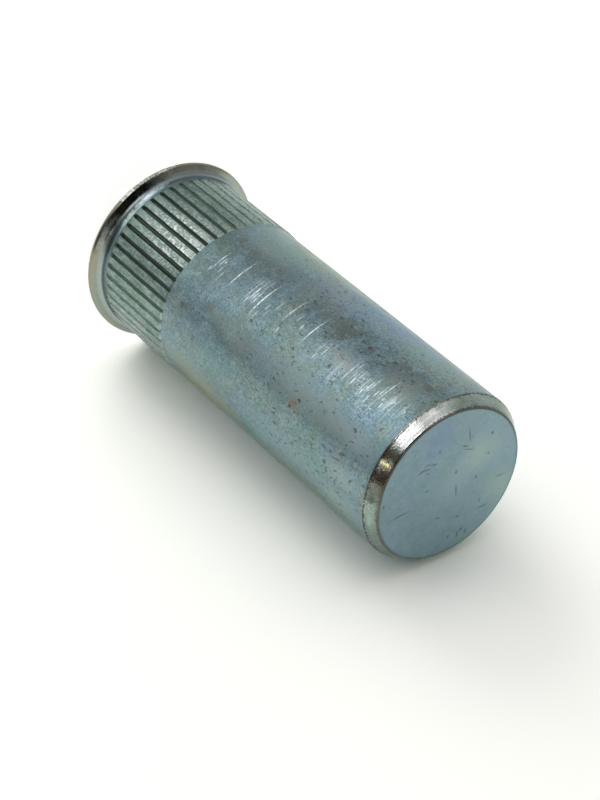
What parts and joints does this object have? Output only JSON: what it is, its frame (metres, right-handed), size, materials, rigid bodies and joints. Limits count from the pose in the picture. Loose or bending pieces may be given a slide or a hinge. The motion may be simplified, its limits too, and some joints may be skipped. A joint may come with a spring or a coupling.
{
  "type": "closed end rivet nut",
  "caption": "Closed end rivet nut: a slim steel sleeve with a thin head, a straight knurl under the head and a blind threaded end.",
  "frame": {"origin": "centre of the hole's mouth in the plane of the head's face, at the bottom of the object", "axes": "+Z along the hole's axis from the head to the closed end; the object is round, so X and Y are any two directions across it, with a knurl groove on +X"},
  "size_m": [0.0124, 0.0124, 0.0292],
  "materials": {
    "zinc_plated_steel": "blue-clear zinc plate on cold-formed steel, satin, with turning scratches and small stains"
  },
  "bodies": {
    "root": {"rivet_nut": "zinc_plated_steel"}
  },
  "joints": []
}
